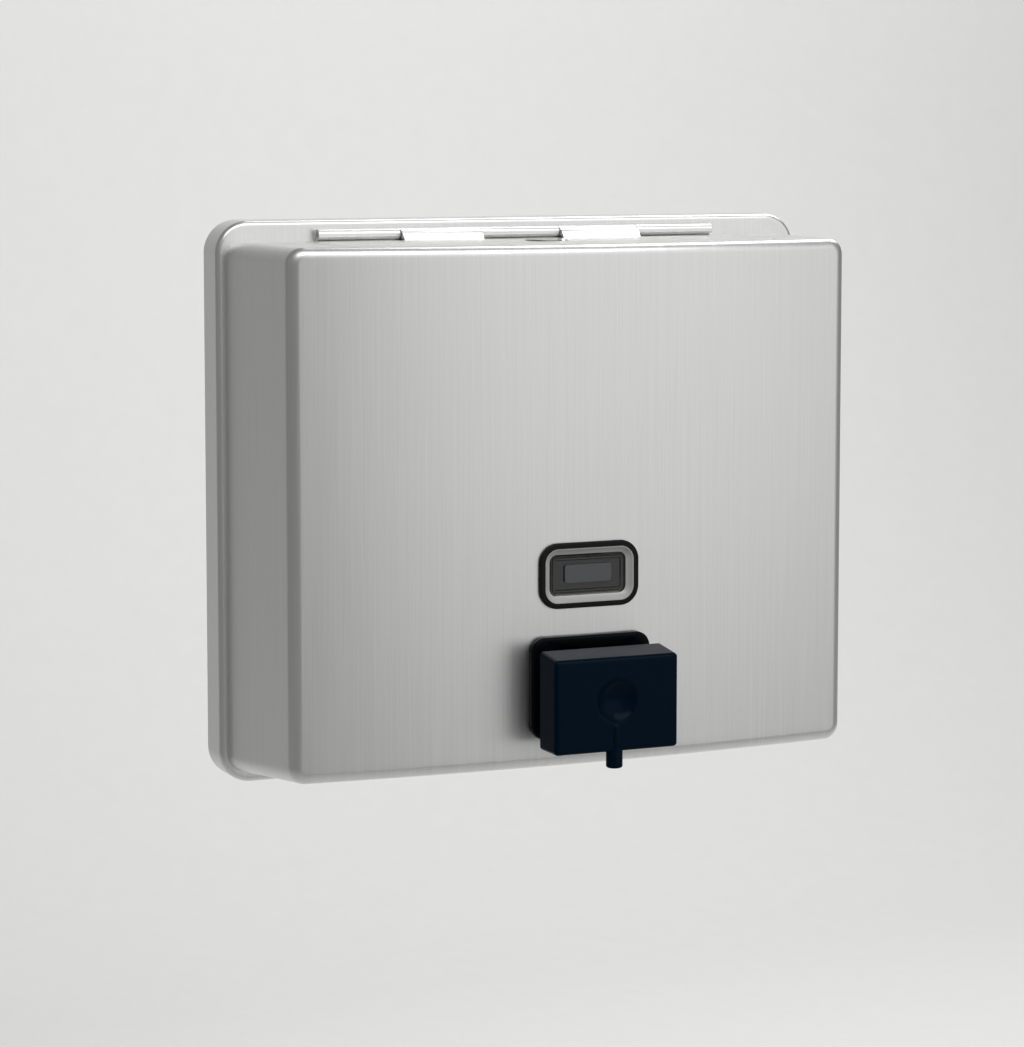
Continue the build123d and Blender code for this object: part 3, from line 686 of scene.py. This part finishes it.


# These border strips take the pale grey of the painted highlight.
for width, sink in ((0.3, 0.0), (0.4, -0.5), (0.5, -0.5), (0.6, -0.4)):
    for strip in step_in(width, sink):
        strip.material_index = 1
for width, sink in ((0.5, -0.3), (0.3, 0.0), (0.2, 0.3), (0.5, 0.0), (0.2, -0.3)):
    step_in(width, sink)
before_pad = set(pane.faces)
pad = block(pane, (-6.9, -60.7, window_z - 2.1), (6.9, -59.9, window_z + 2.8))
round_over(pane, edges_along(pad, 1), 0.8, 5)
# The pad's faces take the grey of the painted light.
for pad_face in set(pane.faces) - before_pad:
    pad_face.material_index = 2
bmesh.ops.recalc_face_normals(pane, faces=pane.faces)
finished_piece(as_object(pane, "pane"), "window_lens", 50, (window_border_painted_highlight, window_pad_painted_light))

# %% [markdown]
# ## Floor and backdrop
# A plain pale sheet lies below the dispenser and rises far behind it, so that every view
# has a quiet ground.

# %% Floor and backdrop shape
half_span = 6.0
floor_z = -0.8
bend_start = 2.2
bend_radius = 1.0
rise_height = 4.0


def of_kind(parts, kind):
    """Only the points, or only the edges, of what an operator made."""
    return [part for part in parts if isinstance(part, kind)]


sweep = bmesh.new()
ends = [sweep.verts.new((x, -half_span, floor_z)) for x in (-half_span, half_span)]
edge = sweep.edges.new(ends)
run = bmesh.ops.extrude_edge_only(sweep, edges=[edge])["geom"]
points = of_kind(run, bmesh.types.BMVert)
bmesh.ops.translate(sweep, vec=(0, half_span + bend_start, 0), verts=points)
bend = bmesh.ops.spin(
    sweep,
    geom=of_kind(run, bmesh.types.BMEdge),
    cent=(0, bend_start, floor_z + bend_radius),
    axis=(1, 0, 0),
    angle=math.pi / 2,
    steps=16,
)
top = of_kind(bend["geom_last"], bmesh.types.BMEdge)
rise = bmesh.ops.extrude_edge_only(sweep, edges=top)["geom"]
points = of_kind(rise, bmesh.types.BMVert)
bmesh.ops.translate(sweep, vec=(0, 0, rise_height), verts=points)
mesh = bpy.data.meshes.new("studio_sweep")
sweep.to_mesh(mesh)
sweep.free()
ground = bpy.data.objects.new("studio_sweep", mesh)
bpy.context.scene.collection.objects.link(ground)
for face in mesh.polygons:
    face.use_smooth = True
print("sweep faces", len(mesh.polygons))

# %% Floor and backdrop finish
pale, tree, shader, place = blank_material("pale_paper")
fibre = noise(tree, place, (40, 40, 40), detail=4.0)
paper = blend_colour(tree, fibre, (0.67, 0.67, 0.66), (0.70, 0.70, 0.69))
tree.links.new(paper.socket, shader.inputs["Base Color"])
shader.inputs["Roughness"].default_value = 0.8
mesh.materials.append(pale)
print("ground finish", pale.name)

# %% [markdown]
# ## Light
# Brushed steel shows the room more than its own colour. A wide soft box overhead gives
# the top and its front edge their bright line. A tall one to the right brightens the bowed
# front towards the right, and the left front stays darker, which draws the dark band on
# the left bend. A third, behind the dispenser, lights only the backdrop, and a low even
# world light fills the rest.


# %% Light
def soft_box(name, place, aim, width, height, power):
    """A soft rectangular light at a place, turned to face a point."""
    data = bpy.data.lights.new(name, "AREA")
    data.shape = "RECTANGLE"
    data.size = width
    data.size_y = height
    data.energy = power
    lamp = bpy.data.objects.new(name, data)
    bpy.context.scene.collection.objects.link(lamp)
    lamp.location = place
    lamp.rotation_euler = (Vector(aim) - Vector(place)).to_track_quat("-Z", "Y").to_euler()
    print(name, "power", power)


world = bpy.data.worlds.new("room")
world.use_nodes = True
fill = world.node_tree.nodes["Background"]
fill.inputs["Color"].default_value = (1.0, 1.0, 1.0, 1.0)
fill.inputs["Strength"].default_value = 0.23
bpy.context.scene.world = world
bpy.context.scene.view_settings.view_transform = "Standard"
soft_box("overhead_box", (0.0, -1.0, 1.1), (0, -0.05, 0), 1.7, 0.6, 10)
soft_box("right_box", (0.88, -1.55, 0.3), (0, -0.05, 0), 2.2, 1.5, 7.7)
soft_box("back_box", (1.3, 0.7, 1.5), (1.0, 2.2, 0.4), 1.6, 1.0, 66)
